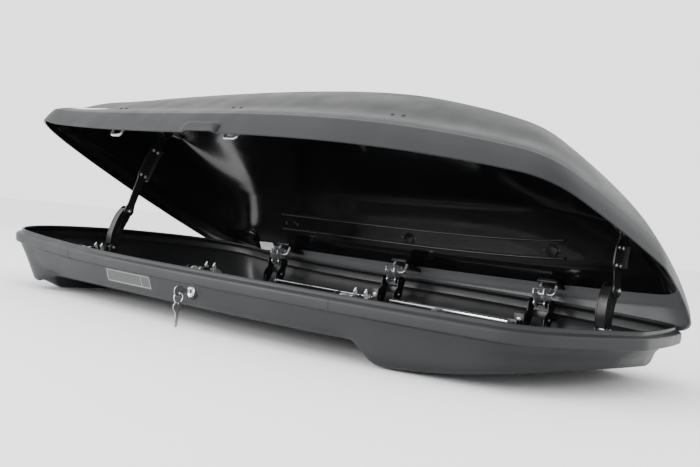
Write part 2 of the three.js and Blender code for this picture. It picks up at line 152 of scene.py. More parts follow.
# ---------- materials ----------
class Nodes:
    """Small helper that adds and links shader nodes of one material."""

    def __init__(self, name, roughness, metallic=0.0, specular=0.5):
        self.material = bpy.data.materials.new(name)
        self.material.use_nodes = True
        self.tree = self.material.node_tree
        self.shader = self.tree.nodes["Principled BSDF"]
        self.shader.inputs["Roughness"].default_value = roughness
        self.shader.inputs["Metallic"].default_value = metallic
        self.shader.inputs["Specular IOR Level"].default_value = specular
        self.place = self.tree.nodes.new("ShaderNodeTexCoord").outputs["Object"]

    def noise(self, scale, detail=4.0, stretch=None):
        source = self.place
        if stretch:
            mapping = self.tree.nodes.new("ShaderNodeMapping")
            mapping.inputs["Scale"].default_value = stretch
            self.tree.links.new(self.place, mapping.inputs["Vector"])
            source = mapping.outputs["Vector"]
        texture = self.tree.nodes.new("ShaderNodeTexNoise")
        texture.inputs["Scale"].default_value = scale
        texture.inputs["Detail"].default_value = detail
        self.tree.links.new(source, texture.inputs["Vector"])
        return texture.outputs["Fac"]

    def ramp(self, factor, *stops):
        node = self.tree.nodes.new("ShaderNodeValToRGB")
        elements = node.color_ramp.elements
        for element, (position, colour) in zip(elements, stops):
            element.position = position
            element.color = (*colour, 1)
        self.tree.links.new(factor, node.inputs["Fac"])
        return node.outputs["Color"]

    def spread(self, factor, low, high):
        node = self.tree.nodes.new("ShaderNodeMapRange")
        node.inputs["From Min"].default_value = 0.3
        node.inputs["From Max"].default_value = 0.7
        node.inputs["To Min"].default_value = low
        node.inputs["To Max"].default_value = high
        self.tree.links.new(factor, node.inputs["Value"])
        return node.outputs["Result"]

    def colour(self, output):
        self.tree.links.new(output, self.shader.inputs["Base Color"])

    def roughness(self, output):
        self.tree.links.new(output, self.shader.inputs["Roughness"])

    def bump(self, output, strength, distance):
        node = self.tree.nodes.new("ShaderNodeBump")
        node.inputs["Strength"].default_value = strength
        node.inputs["Distance"].default_value = distance
        self.tree.links.new(output, node.inputs["Height"])
        self.tree.links.new(node.outputs["Normal"], self.shader.inputs["Normal"])


def moulded_plastic(name, dark, light, roughness, grain, specular=0.5):
    """Moulded sheet: fine grain in the surface, and slow drift in tone and sheen."""
    look = Nodes(name, roughness[0], specular=specular)
    look.colour(look.ramp(look.noise(5.5), (0.3, dark), (0.7, light)))
    look.roughness(look.spread(look.noise(14.0, 6.0), *roughness))
    look.bump(look.noise(grain, 3.0), 0.22, 0.0004)
    return look.material


def metal(name, dark, light, roughness, stretch, metallic=1.0):
    """Plated or painted steel with fine drawn streaks and slightly uneven sheen."""
    look = Nodes(name, roughness[0], metallic=metallic)
    streaks = look.noise(60.0, 5.0, stretch)
    look.colour(look.ramp(streaks, (0.35, dark), (0.65, light)))
    look.roughness(look.spread(look.noise(40.0, 4.0), *roughness))
    look.bump(look.noise(900.0, 2.0), 0.08, 0.0002)
    return look.material


def grey(level, tint=0.0):
    return (level * (1 - tint), level, level * (1 + tint))


lid_outside = moulded_plastic("lid_grained", grey(0.012, 0.06), grey(0.016, 0.06), (0.40, 0.50), 850.0, 0.17)
lid_inside = moulded_plastic("lid_gloss_inside", grey(0.0030), grey(0.0048), (0.09, 0.15), 60.0)
tub_outside = moulded_plastic("tub_grained", grey(0.016, 0.06), grey(0.020, 0.06), (0.38, 0.48), 850.0, 0.22)
tub_inside = moulded_plastic("tub_satin_inside", grey(0.013, 0.03), grey(0.017, 0.03), (0.32, 0.42),
                             500.0, 0.4)
# Lower inner skirt of the lid: a much lighter grey than the gloss inside, painted in as the reflection of
# light on that band.
painted_reflection_skirt = moulded_plastic("skirt_painted_reflection", grey(0.085, 0.03), grey(0.10, 0.03), (0.34, 0.44),
                               500.0, 0.4)
black_steel = metal("black_powder_coat", grey(0.008), grey(0.014), (0.28, 0.42), (1, 1, 1), metallic=0.15)
zinc = metal("bright_zinc", (0.52, 0.53, 0.55), (0.74, 0.74, 0.75), (0.22, 0.36), (6, 1, 1), 0.85)
key_steel = metal("nickel_key", (0.34, 0.34, 0.35), (0.50, 0.50, 0.51), (0.16, 0.28), (6, 1, 1))
chrome = metal("polished_chrome", (0.74, 0.74, 0.76), (0.86, 0.86, 0.87), (0.06, 0.13), (8, 1, 1))
knob_grey = moulded_plastic("knob_nylon", grey(0.20), grey(0.26), (0.42, 0.55), 700.0)
rubber = moulded_plastic("rubber_face", grey(0.010), grey(0.016), (0.62, 0.78), 500.0, specular=0.3)
film = moulded_plastic("satin_film", grey(0.030, 0.02), grey(0.040, 0.02), (0.30, 0.40), 300.0)
film_edge = moulded_plastic("film_border", grey(0.34, 0.02), grey(0.40, 0.02), (0.34, 0.44), 300.0)
badge_look = moulded_plastic("satin_badge", grey(0.44, 0.01), grey(0.52, 0.01), (0.28, 0.38), 300.0)
sticker_white = moulded_plastic("white_sticker", grey(0.62), grey(0.70), (0.40, 0.50), 400.0)


# ---------- meshes ----------
def piece(name, mesh_data, materials, body, slot, *replaced):
    """Turns a bmesh in metres into a named object that rides on a body."""
    mesh = bpy.data.meshes.new(name)
    bmesh.ops.recalc_face_normals(mesh_data, faces=mesh_data.faces)
    mesh_data.to_mesh(mesh)
    mesh_data.free()
    obj = bpy.data.objects.new(name, mesh)
    bpy.context.scene.collection.objects.link(obj)
    for material in materials:
        mesh.materials.append(material)
    mesh.shade_smooth()
    mesh.set_sharp_from_angle(angle=math.radians(38))
    if body == "lid":
        mesh.transform(lid_turn)
    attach(obj, body)
    if replaced:
        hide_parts(*replaced)
    return obj


def fine_piece(node, mesh_data, materials, body, slot):
    """A piece that takes the place of the CAD node of the same name."""
    return piece(node + "_fine", mesh_data, materials, body, slot, node)


# Lid pieces are drawn with the lid shut, as in the CAD, and turned open about the far staples.
hinge_point = Vector((0, HINGE_Y, HINGE_Z)) * MM
lid_turn = (Matrix.Translation(hinge_point) @ Matrix.Rotation(-LID_OPEN, 4, "X")
            @ Matrix.Translation(-hinge_point))


def bezier(points, count):
    t = np.linspace(0, 1, count)[:, None]
    level = [np.array(p, float) * np.ones_like(t) for p in points]
    while len(level) > 1:
        level = [a * (1 - t) + b * t for a, b in zip(level, level[1:])]
    return level[0]


def side_y(x):
    """Half width of the plan: full up to the taper's start, then drawn in towards the nose."""
    along = (np.asarray(x, float) - TAPER_START) / (TAPER_END - TAPER_START)
    return HALF_WIDTH - TAPER * np.clip(along, 0, None) ** 3.5


def plan_outline():
    """Closed plan outline of (x, y) rows, from the tail's middle by +Y to the nose and back."""
    tail = bezier([(TAIL_X, 0), (TAIL_X + 11, 245), (TAIL_X + 60, HALF_WIDTH),
                   (TAIL_X + 175, HALF_WIDTH)], 34)
    xs = np.linspace(TAIL_X + 175, TAPER_END, 118)[1:-1]
    sides = np.stack([xs, side_y(xs)], 1)
    corner = bezier([(TAPER_END, HALF_WIDTH - TAPER), (826, 316), (847, 250)], 14)
    nose = bezier([(847, 250), (886, 120), (HALF_LENGTH, 0)], 18)[1:]
    half = np.vstack([tail, sides, corner, nose])
    other = half[1:-1][::-1] * (1, -1)
    return np.vstack([half, other])


outline = plan_outline()


def fillet(rings, radii):
    """Rounds the corners between rings; each radius is a length, cut short on small steps."""
    result = [rings[0]]
    for before, ring, after, radius in zip(rings, rings[1:], rings[2:], radii):
        back = before - ring
        ahead = after - ring
        length_back = np.linalg.norm(back, axis=1, keepdims=True) + 1e-9
        length_ahead = np.linalg.norm(ahead, axis=1, keepdims=True) + 1e-9
        first = ring + back * np.minimum(0.5, radius / length_back)
        last = ring + ahead * np.minimum(0.5, radius / length_ahead)
        for t in (0, 0.25, 0.5, 0.75, 1):
            result.append(first * (1 - t) ** 2 + ring * 2 * t * (1 - t) + last * t * t)
    result.append(rings[-1])
    return result


def bridge(data, rows, index=0):
    """Joins each row of vertices to the next with quads, all the way round."""
    count = len(rows[0])
    for low, high in zip(rows, rows[1:]):
        for k in range(count):
            m = (k + 1) % count
            data.faces.new((low[k], low[m], high[m], high[k])).material_index = index


def close_ends(data, rows, index=0):
    for row in (rows[0], rows[-1]):
        data.faces.new(row).material_index = index


def skins(outside, inside, edge_lift, inner_slot):
    """Closed shell of two skins joined by an edge ring; inner_slot(k) is for the k-th inner strip."""
    data = bmesh.new()
    edge = (outside[0] + inside[0]) / 2 + (0, 0, edge_lift)
    rings = outside[::-1] + [edge] + inside
    rows = [[data.verts.new(Vector(p) * MM) for p in ring] for ring in rings]
    for k, pair in enumerate(zip(rows, rows[1:]), -len(outside)):
        bridge(data, pair, 0 if k < 0 else inner_slot(k))
    return data


def clean(data):
    bmesh.ops.remove_doubles(data, verts=data.verts, dist=2e-6)
    bmesh.ops.dissolve_degenerate(data, dist=1e-7, edges=data.edges)


# ---------- lid shell ----------
# Control rows of the half section: width share, rise share, fillet radius.
LID_ROWS = (
    (1, 0, 0), (0.991, 0.1, 30), (0.975, 0.196, 7), (0.966, 0.204, 4), (0.938, 0.255, 16),
    (0.83, 0.375, 60), (0.771, 0.5, 60), (0.7, 0.62, 60), (0.62, 0.722, 14), (0.596, 0.748, 9),
    (0.49, 0.83, 60), (0.33, 0.915, 60), (0.15, 0.975, 60), (0, 1, 0),
)
PANEL_STEP = 3.5                      # the top panel stands proud of the shoulder
SKIRT_RINGS = 20                      # rings of the inner skin that carry the lighter skirt band, a painted reflection
SKIRT_START = -640                    # the tail's inner wall keeps the plain gloss, without the painted reflection


def sheer(x):
    along = np.abs(x) / HALF_LENGTH
    return np.where(x < 0, TAIL_RISE * along ** 3, -NOSE_FALL * along ** 2)


def lid_sheer(x):
    return sheer(x) + TAIL_LIFT * smoothstep(-x, 680, 790)


def lid_height(u):
    peak = 0.15
    tail = LID_HEIGHT - LID_END_DROP * (np.clip(peak - u, 0, None) / (1 + peak)) ** 2.2
    nose = LID_HEIGHT - LID_NOSE_DROP * (np.clip(u - peak, 0, None) / (1 - peak)) ** 2.6
    return np.where(u < peak, tail, nose)


def lid_point(x, y, width, rise, thin):
    x = np.asarray(x, float)
    inset = np.where(x < 0, TAIL_INSET * rise ** 2, NOSE_INSET * rise ** 1.45)
    spread = LID_SPREAD - thin
    panel = PANEL_STEP * smoothstep(0.61 - width, 0, 0.012)
    panel = panel * smoothstep(x, -780, -560) * (1 - smoothstep(x, 420, 640))
    height = lid_height(x / HALF_LENGTH) - thin + panel - PANEL_STEP
    place_x = x * (1 + (spread - inset) / HALF_LENGTH)
    place_y = y * (1 + spread / HALF_WIDTH) * width
    place_z = LID_EDGE_Z + lid_sheer(x) * (1 - rise) + rise * height
    return np.stack([place_x, place_y, place_z], 1)


def grip_bulge(points, side):
    """Pushes the skirt outward into a finger scoop in the middle of one long side."""
    along = (points[:, 0] - GRIP_X) / 62
    across = 1 - smoothstep(np.abs(along), 0.78, 1.0)
    height = (points[:, 2] - LID_EDGE_Z) / 27
    profile = np.clip(1 - height, 0, 1) ** 0.55 * (points[:, 1] * side > 380)
    moved = points.copy()
    moved[:, 1] += side * 8.5 * across * profile
    return moved


def lid_rings(thin):
    rings = [lid_point(outline[:, 0], outline[:, 1], width, rise, thin) for width, rise, _ in LID_ROWS]
    rings = fillet(rings, [radius for _, _, radius in LID_ROWS][1:-1])
    return [grip_bulge(grip_bulge(ring, -1), 1) for ring in rings]


def lid_shell():
    # Inner strips below SKIRT_RINGS take slot 2, the lighter grey of the painted reflection band.
    data = skins(lid_rings(0), lid_rings(WALL), -1.4, lambda k: 2 if k < SKIRT_RINGS else 1)
    for face in data.faces:
        if face.material_index == 2 and face.calc_center_median().x < SKIRT_START * MM:
            face.material_index = 1
    clean(data)
    return fine_piece("lid_shell", data, (lid_outside, lid_inside, painted_reflection_skirt), "lid", "lid_plastic")


lid = lid_shell()


# ---------- base tub ----------
def underside(x):
    keel = KEEL_DROP * smoothstep(x, KEEL_START, KEEL_FULL)
    bow = BOW_RISE * np.clip((x - BOW_START) / BOW_LENGTH, 0, None) ** 1.5
    wedge = (KEEL_DROP - 1) * (1 - smoothstep(x, WEDGE_FULL, WEDGE_END))
    return bow - keel - wedge


# Side, tail and nose inset, height from the floor's height, and fillet radius of each ring.
# Adding 0 * floor gives a level ring one height for each column.
TUB_ROWS = (
    (30, 14, 24, lambda floor: RIM_Z + 0 * floor, 1.5),
    (30, 14, 24, lambda floor: RIM_Z - 6 + 0 * floor, 3),
    (BAND_INSET, 4, 12, lambda floor: RIM_Z - 12 + 0 * floor, 4),
    (BAND_INSET + 1, 5, 13, lambda floor: RIM_Z - 32 + 0 * floor, 2.5),
    (29, 12, 34, lambda floor: RIM_Z - 36 + 0 * floor, 5),
    (36, 44, 64, lambda floor: np.maximum(RIM_Z - 58, floor + 20), 26),
    (46, 95, 68, lambda floor: floor + 9, 14),
    (62, 180, FLOOR_NOSE_INSET, lambda floor: floor, 12),
)


def tub_ring(level, thin):
    side, tail, nose, height, _ = TUB_ROWS[level]
    x0, y0 = outline[:, 0], outline[:, 1]
    inset = np.where(x0 < 0, tail, nose) + thin
    x = x0 * (1 - inset / HALF_LENGTH)
    y = y0 * (1 - (side + thin + SWING_ROOM * smoothstep(x0, 60, 760)) / HALF_WIDTH)
    lift = 0 if level < 2 else thin * min(1, (level - 1) / 4)
    rim_share = 1 if level < 5 else max(0, (7 - level) / 4)
    return np.stack([x, y, height(underside(x)) + lift + rim_share * sheer(x0)], 1)


def floor_ribs(x, y):
    """Long stiffening channels pressed into the floor, clear of the clamps and the keel."""
    channels = sum(smoothstep(18 - np.abs(np.abs(y) - centre), 0, 10) for centre in (0, 62, 205))
    ends = smoothstep(x, -600, -560) * (1 - smoothstep(x, 370, 410))
    return 4.5 * channels * ends


def floor_strips(edge, thin):
    """Rings that close the floor: the edge drawn in towards the middle line, with the channels."""
    strips = []
    for share in np.linspace(0.985, 0, 44):
        x, y = edge[:, 0], edge[:, 1] * share
        z = underside(x) + thin + floor_ribs(x, y)
        strips.append(np.stack([x, y, z], 1))
    return strips


def tub_rings(thin):
    """All rings of one skin, from the lip down to the middle line of the floor."""
    rings = [tub_ring(level, thin) for level in range(len(TUB_ROWS))]
    strips = floor_strips(rings[-1], thin)
    return fillet(rings + strips[:1], [row[4] for row in TUB_ROWS][1:]) + strips[1:]


def base_tub():
    data = skins(tub_rings(0), tub_rings(WALL), 1.2, lambda k: 1)
    clean(data)
    return fine_piece("base_tub", data, (tub_outside, tub_inside), "base", "base_plastic")


tub = base_tub()

# ---------- finishes of the CAD nodes that stay ----------
SLOT_LOOKS = {
    "lid_plastic": lid_outside,
    "base_plastic": tub_outside,
    "black_steel": black_steel,
    "zinc_steel": zinc,
    "chrome": chrome,
    "knob_plastic": knob_grey,
    "pad_rubber": rubber,
    "label_film": film,
}
for subpart in frame["record"]["subparts"]:
    node = nodes[subpart["node"]]
    node.data.materials.clear()
    node.data.materials.append(SLOT_LOOKS[subpart["material_slot"]])

# ---------- building blocks of the fittings ----------
# Shapes of the fittings are drawn across the box, in (y, z), and laid along x.
def across(x=0.0):
    """Turns a sheet's own plane into the Y-Z plane at the given x, in metres."""
    turn = Matrix(((0, 0, 1, x), (1, 0, 0, 0), (0, 1, 0, 0), (0, 0, 0, 1)))
    return Matrix.Scale(MM, 4) @ turn


def rounded(points, radius, steps=4):
    """Closed outline with its corners rounded, the radius cut short on short edges."""
    points = np.array(points, float)
    result = []
    for before, corner, after in zip(np.roll(points, 1, 0), points, np.roll(points, -1, 0)):
        back, ahead = before - corner, after - corner
        first = corner + back * min(0.48, radius / (np.linalg.norm(back) + 1e-9))
        last = corner + ahead * min(0.48, radius / (np.linalg.norm(ahead) + 1e-9))
        for t in np.linspace(0, 1, steps + 1):
            result.append(first * (1 - t) ** 2 + corner * 2 * t * (1 - t) + last * t * t)
    return result


def directions(path):
    """Unit tangents of a flat path, and the normals to their left."""
    tangent = np.gradient(path, axis=0)
    tangent /= np.linalg.norm(tangent, axis=1, keepdims=True)
    return tangent, np.stack([-tangent[:, 1], tangent[:, 0]], 1)


def circle(centre, radius, count=20):
    angles = np.linspace(0, 2 * math.pi, count, endpoint=False)
    return [(centre[0] + radius * math.cos(a), centre[1] + radius * math.sin(a)) for a in angles]


def slot_hole(start, end, radius):
    """Outline of a round-ended slot between two points."""
    return band(np.linspace(start, end, 3), radius)


def band(path, half, steps=8):
    """Outline round a path with round ends; half is its half width, one value or one for each point."""
    path = np.array(path, float)
    half = np.broadcast_to(half, len(path))[:, None]
    tangent, normal = directions(path)
    sweep = np.linspace(0, math.pi, steps)[1:-1, None]
    end_cap = path[-1] + half[-1] * (normal[-1] * np.cos(sweep) + tangent[-1] * np.sin(sweep))
    start_cap = path[0] + half[0] * (-normal[0] * np.cos(sweep) - tangent[0] * np.sin(sweep))
    return np.vstack([path + normal * half, end_cap, (path - normal * half)[::-1], start_cap])


def put_sheet(data, place, edge, holes=(), thickness=3.0, bevel=0.5, index=0):
    """Adds a plate cut from sheet, with rounded edges, its middle plane on the place given."""
    curve = bpy.data.curves.new("sheet", "CURVE")
    curve.dimensions = "2D"
    curve.fill_mode = "BOTH"
    curve.extrude = thickness / 2 - bevel
    curve.bevel_depth = bevel
    curve.bevel_resolution = 1
    for loop in (edge, *holes):
        spline = curve.splines.new("POLY")
        spline.points.add(len(loop) - 1)
        for point, (u, v) in zip(spline.points, loop):
            point.co = (u, v, 0, 1)
        spline.use_cyclic_u = True
    holder = bpy.data.objects.new("sheet", curve)
    mesh = bpy.data.meshes.new_from_object(holder)
    bpy.data.objects.remove(holder)
    bpy.data.curves.remove(curve)
    mesh.transform(place)
    first = len(data.faces)
    data.from_mesh(mesh)
    data.faces.ensure_lookup_table()
    for face in data.faces[first:]:
        face.material_index = index
    bpy.data.meshes.remove(mesh)


def put_turned(data, start, axis, profile, index=0, steps=28):
    """Adds a turned part: the profile's (radius, distance) rows about an axis from the start point."""
    axis = Vector(axis).normalized()
    side = axis.orthogonal().normalized()
    other = axis.cross(side)
    rows = []
    for radius, distance in profile:
        centre = Vector(start) + axis * distance
        if radius < 1e-6:
            rows.append([data.verts.new(centre * MM)] * steps)
            continue
        row = []
        for i in range(steps):
            angle = 2 * math.pi * i / steps
            spoke = side * math.cos(angle) + other * math.sin(angle)
            row.append(data.verts.new((centre + spoke * radius) * MM))
        rows.append(row)
    for low, high in zip(rows, rows[1:]):
        for i in range(steps):
            j = (i + 1) % steps
            corners = list(dict.fromkeys((low[i], low[j], high[j], high[i])))
            if len(corners) > 2:
                data.faces.new(corners).material_index = index


def put_rod(data, start, end, radius, index=0, bevel=0.6, steps=24):
    length = (Vector(end) - Vector(start)).length
    profile = [(0, 0), (radius - bevel, 0), (radius, bevel),
               (radius, length - bevel), (radius - bevel, length), (0, length)]
    put_turned(data, start, Vector(end) - Vector(start), profile, index, steps)


def put_bolt(data, place, axis, radius, index=0):
    """Pan head with a washer and a shallow drive recess."""
    r = radius
    profile = [(r * 1.5, 0), (r * 1.5, r * 0.16), (r * 1.05, r * 0.2), (r, r * 0.36), (r * 0.9, r * 0.62),
               (r * 0.62, r * 0.78), (r * 0.42, r * 0.8), (r * 0.36, r * 0.45), (0, r * 0.42)]
    put_turned(data, place, axis, profile, index, 22)


def put_tube(data, path, radius, index=0, steps=12, closed=False):
    """Adds round wire along a path, closed on itself or with flat ends."""
    path = [Vector(p) for p in path]
    count = len(path)
    rows = []
    side = None
    for i, centre in enumerate(path):
        ahead = path[(i + 1) % count] if closed else path[min(i + 1, count - 1)]
        behind = path[i - 1] if closed else path[max(i - 1, 0)]
        tangent = (ahead - behind).normalized()
        side = (side or tangent.orthogonal()) - tangent * tangent.dot(side or tangent.orthogonal())
        side.normalize()
        other = tangent.cross(side)
        angles = [2 * math.pi * k / steps for k in range(steps)]
        rows.append([data.verts.new((centre + (side * math.cos(a) + other * math.sin(a)) * radius) * MM)
                     for a in angles])
    bridge(data, rows + rows[:1] if closed else rows, index)
    if not closed:
        close_ends(data, rows, index)


def put_strip(data, path, x0, x1, thickness, index=0):
    """Adds sheet bent along a path in (y, z), as wide as x0 to x1, with softened edges."""
    path = np.array(path, float)
    _, normal = directions(path)
    soft = thickness * 0.25
    half = thickness / 2
    section = [(x0 + soft, -half), (x1 - soft, -half), (x1, -half + soft), (x1, half - soft),
               (x1 - soft, half), (x0 + soft, half), (x0, half - soft), (x0, -half + soft)]
    rows = []
    for (y, z), (ny, nz) in zip(path, normal):
        rows.append([data.verts.new(Vector((x, y + ny * d, z + nz * d)) * MM) for x, d in section])
    bridge(data, rows, index)
    close_ends(data, rows, index)


def put_block(data, low, high, soft=1.0, index=0):
    """Adds a block with chamfered edges between two corners."""
    low, high = np.array(low, float), np.array(high, float)
    middle = [(low[0] + high[0]) / 2, (low[1] + high[1]) / 2, (low[2] + high[2]) / 2]
    size = high - low
    edge = [(-size[1] / 2 + soft, -size[2] / 2 + soft), (size[1] / 2 - soft, -size[2] / 2 + soft),
            (size[1] / 2 - soft, size[2] / 2 - soft), (-size[1] / 2 + soft, size[2] / 2 - soft)]
    place = across()
    place.translation = Vector(middle) * MM
    put_sheet(data, place, rounded(edge, soft, 2), (), size[0], soft, index)


# ---------- wire staples under the lid ----------
def lid_wall_y(x, z):
    """Half width of the lid's inner skin at a height over its edge."""
    rows = [(width, LID_EDGE_Z + rise * (lid_height(0.0) - WALL)) for width, rise, _ in LID_ROWS]
    share = np.interp(z, [row[1] for row in rows], [row[0] for row in rows])
    return float(side_y(x) * (1 + (LID_SPREAD - WALL) / HALF_WIDTH) * share)


def striker(label, side, x, number):
    data = bmesh.new()
    y = side * HINGE_Y
    reach = lid_wall_y(x + 27, HINGE_Z + 34) - HINGE_Y - 3.6
    bracket = rounded([(side * (HINGE_Y - 14), HINGE_Z + 26), (side * (HINGE_Y + 12), HINGE_Z + 26),
                       (side * (HINGE_Y + reach), HINGE_Z + 30), (side * (HINGE_Y + reach), HINGE_Z + 34),
                       (side * (HINGE_Y - 14), HINGE_Z + 34)], 3)
    put_sheet(data, across(x), bracket, (), 54, 1.0, 1)
    for dx in (-22, 22):
        put_turned(data, (x + dx, y, HINGE_Z + 26.4), (0, 0, -1), [(7, 0), (7, 1), (5.2, 2), (4, 2.4)], 1, 18)
    bend = 7.0
    arc = [(math.sin(t), math.cos(t)) for t in np.linspace(0, math.pi / 2, 6)]
    foot = HINGE_Z + 27
    left = [(x - 22, y, foot)] + [(x - 22 + bend * (1 - c), y, HINGE_Z + bend * (1 - s)) for s, c in arc]
    path = left + [(2 * x - px, py, pz) for px, py, pz in left[::-1]]
    put_tube(data, path, WIRE, 0, 14)
    fine_piece(f"striker_{label}_{number}", data, (zinc, black_steel), "lid", "zinc_steel")


# ---------- claws, posts and rods ----------
def claw(label, side, x, number):
    turn = 0 if side > 0 else CLAW_RELEASED

    def at(radius, degrees):
        angle = math.radians(degrees + turn)
        return (side * (CLAW_Y + radius * math.cos(angle)), CLAW_Z + radius * math.sin(angle))

    def arc(radius, start, end, count):
        return [at(radius, a) for a in np.linspace(start, end, count)]

    edge = (arc(10, -150, 15, 12) + arc(20, 28, 100, 14) + arc(25.5, 104, 106, 2) + arc(31.5, 98, 30, 12)
            + arc(38.5, 24, 118, 22) + arc(30, 128, 132, 2) + arc(11.5, 150, 190, 6))
    data = bmesh.new()
    for dx in (-14.5, 14.5):
        put_sheet(data, across(x + dx), edge, (circle(at(33.5, 112), 1.9, 12),), 3, 0.55, 0)
        put_turned(data, (x + dx * 1.08, side * CLAW_Y, CLAW_Z), (math.copysign(1, dx), 0, 0),
                   [(8.5, 0), (8.5, 1.2), (6.4, 2.0), (4, 2.2)], 1, 20)
    put_strip(data, arc(36.8, 58, 122, 16), x - 15, x + 15, 3.2, 0)
    hood = Vector((0, *at(1, 92))) - Vector((0, *at(0, 92)))
    stud = [(3.4, 0), (3.2, 0.5), (2.8, 0.4), (0, 0.3)]
    for dx in (-6.5, 6.5):
        put_turned(data, Vector((x + dx, *at(38.2, 92))), hood, stud, 1, 18)
    put_rod(data, (x - 33, side * CLAW_Y, CLAW_Z), (x + 33, side * CLAW_Y, CLAW_Z), WIRE, 1)
    name = f"claw_{label}_{number}"
    fine_piece(name, data, (zinc, black_steel), name, "zinc_steel")


def post(label, side, x, number):
    def place(points):
        return [(side * (CLAW_Y + dy), z) for dy, z in points]

    foot = FLOOR_Z + GAP
    cheek = rounded(place([(-26, foot), (-20, foot), (-2, 17), (8, 40), (9, CLAW_Z - 16),
                           (13, CLAW_Z - 8), (13, CLAW_Z + 4), (6, CLAW_Z + 11), (-6, CLAW_Z + 11),
                           (-13, CLAW_Z + 3), (-13, CLAW_Z - 20), (-26, CLAW_Z - 34)]), 3.2, 3)
    pin_hole = circle((side * CLAW_Y, CLAW_Z), WIRE + 0.7, 18)
    long_hole = slot_hole((side * (CLAW_Y - 18), foot + 12), (side * (CLAW_Y - 18), foot + 26), 2.4)
    data = bmesh.new()
    for dx in (-28.5, 28.5):
        put_sheet(data, across(x + dx), cheek, (pin_hole, long_hole), 3, 0.5, 0)
        head = Vector((x + dx + math.copysign(1.6, dx), side * (CLAW_Y - 6), 40))
        put_bolt(data, head, (math.copysign(1, dx), 0, 0), 2.6, 1)
    web = rounded(place([(5, 41), (8, 41), (9, CLAW_Z - 18), (6, CLAW_Z - 18)]), 0.8, 2)
    put_sheet(data, across(x), web, (), 57, 0.4, 0)
    sole = rounded(place([(-34, foot), (-20, foot), (-17, foot + 3), (-34, foot + 3)]), 0.8, 2)
    put_sheet(data, across(x), sole, (), 76, 0.5, 0)
    for dx in (-18, 18):
        put_bolt(data, (x + dx, side * (CLAW_Y - 28), foot + 3), (0, 0, 1), 3.4, 1)
    fine_piece(f"post_{label}_{number}", data, (black_steel, zinc), "base", "black_steel")


def rods(label, side):
    y = side * ROD_Y
    data = bmesh.new()
    start, end = STATIONS[0] + 34, STATIONS[1] - 34
    put_rod(data, (start, y, ROD_Z), (end, y, ROD_Z), 3, 0, 0.8)
    for x in (start + 10, end - 10):
        put_turned(data, (x - 7, y, ROD_Z), (1, 0, 0),
                   [(3, 0), (5.4, 0.6), (6, 2), (6, 12), (5.4, 13.4), (3, 14)], 0, 6)
    name = f"thin_rod_{label}"
    fine_piece(name, data, (chrome,), name, "zinc_steel")
    data = bmesh.new()
    start, end = STATIONS[1] + 34, STATIONS[2] - 58
    put_turned(data, (start, y, ROD_Z), (1, 0, 0),
               [(0, 5), (4.6, 4), (5.4, 0), (6.6, 0.3), (7, 1.4), (7, end - start)], 0, 32)
    low, high = STATIONS[2] - 60, STATIONS[2] - 32
    for dy in (-7, 7):
        put_block(data, (low, y + dy - 2, ROD_Z - 9), (high, y + dy + 2, ROD_Z + 9), 0.8, 1)
    put_block(data, (low, y - 7, ROD_Z - 9), (low + 8, y + 7, ROD_Z + 9), 0.8, 1)
    put_rod(data, (high - 8, y - 9, ROD_Z), (high - 8, y + 9, ROD_Z), 3.2, 1)
    name = f"drive_tube_{label}"
    fine_piece(name, data, (chrome, black_steel), name, "chrome")


for label, side in SIDES:
    for number, x in enumerate(STATIONS, 1):
        striker(label, side, x, number)
        claw(label, side, x, number)
        post(label, side, x, number)
    rods(label, side)


# ---------- folding stays ----------
def opened(point):
    turned = lid_turn @ (Vector((0, *point)) * MM) / MM
    return np.array([turned.y, turned.z])


def bowed(start, end, bulge, count=14):
    """Points of a gently curved arm; the bulge is its sideways reach in the middle."""
    start, end = np.array(start, float), np.array(end, float)
    along = end - start
    aside = np.array([-along[1], along[0]]) / np.linalg.norm(along)
    t = np.linspace(0, 1, count)[:, None]
    return start + along * t + aside * bulge * np.sin(math.pi * t)


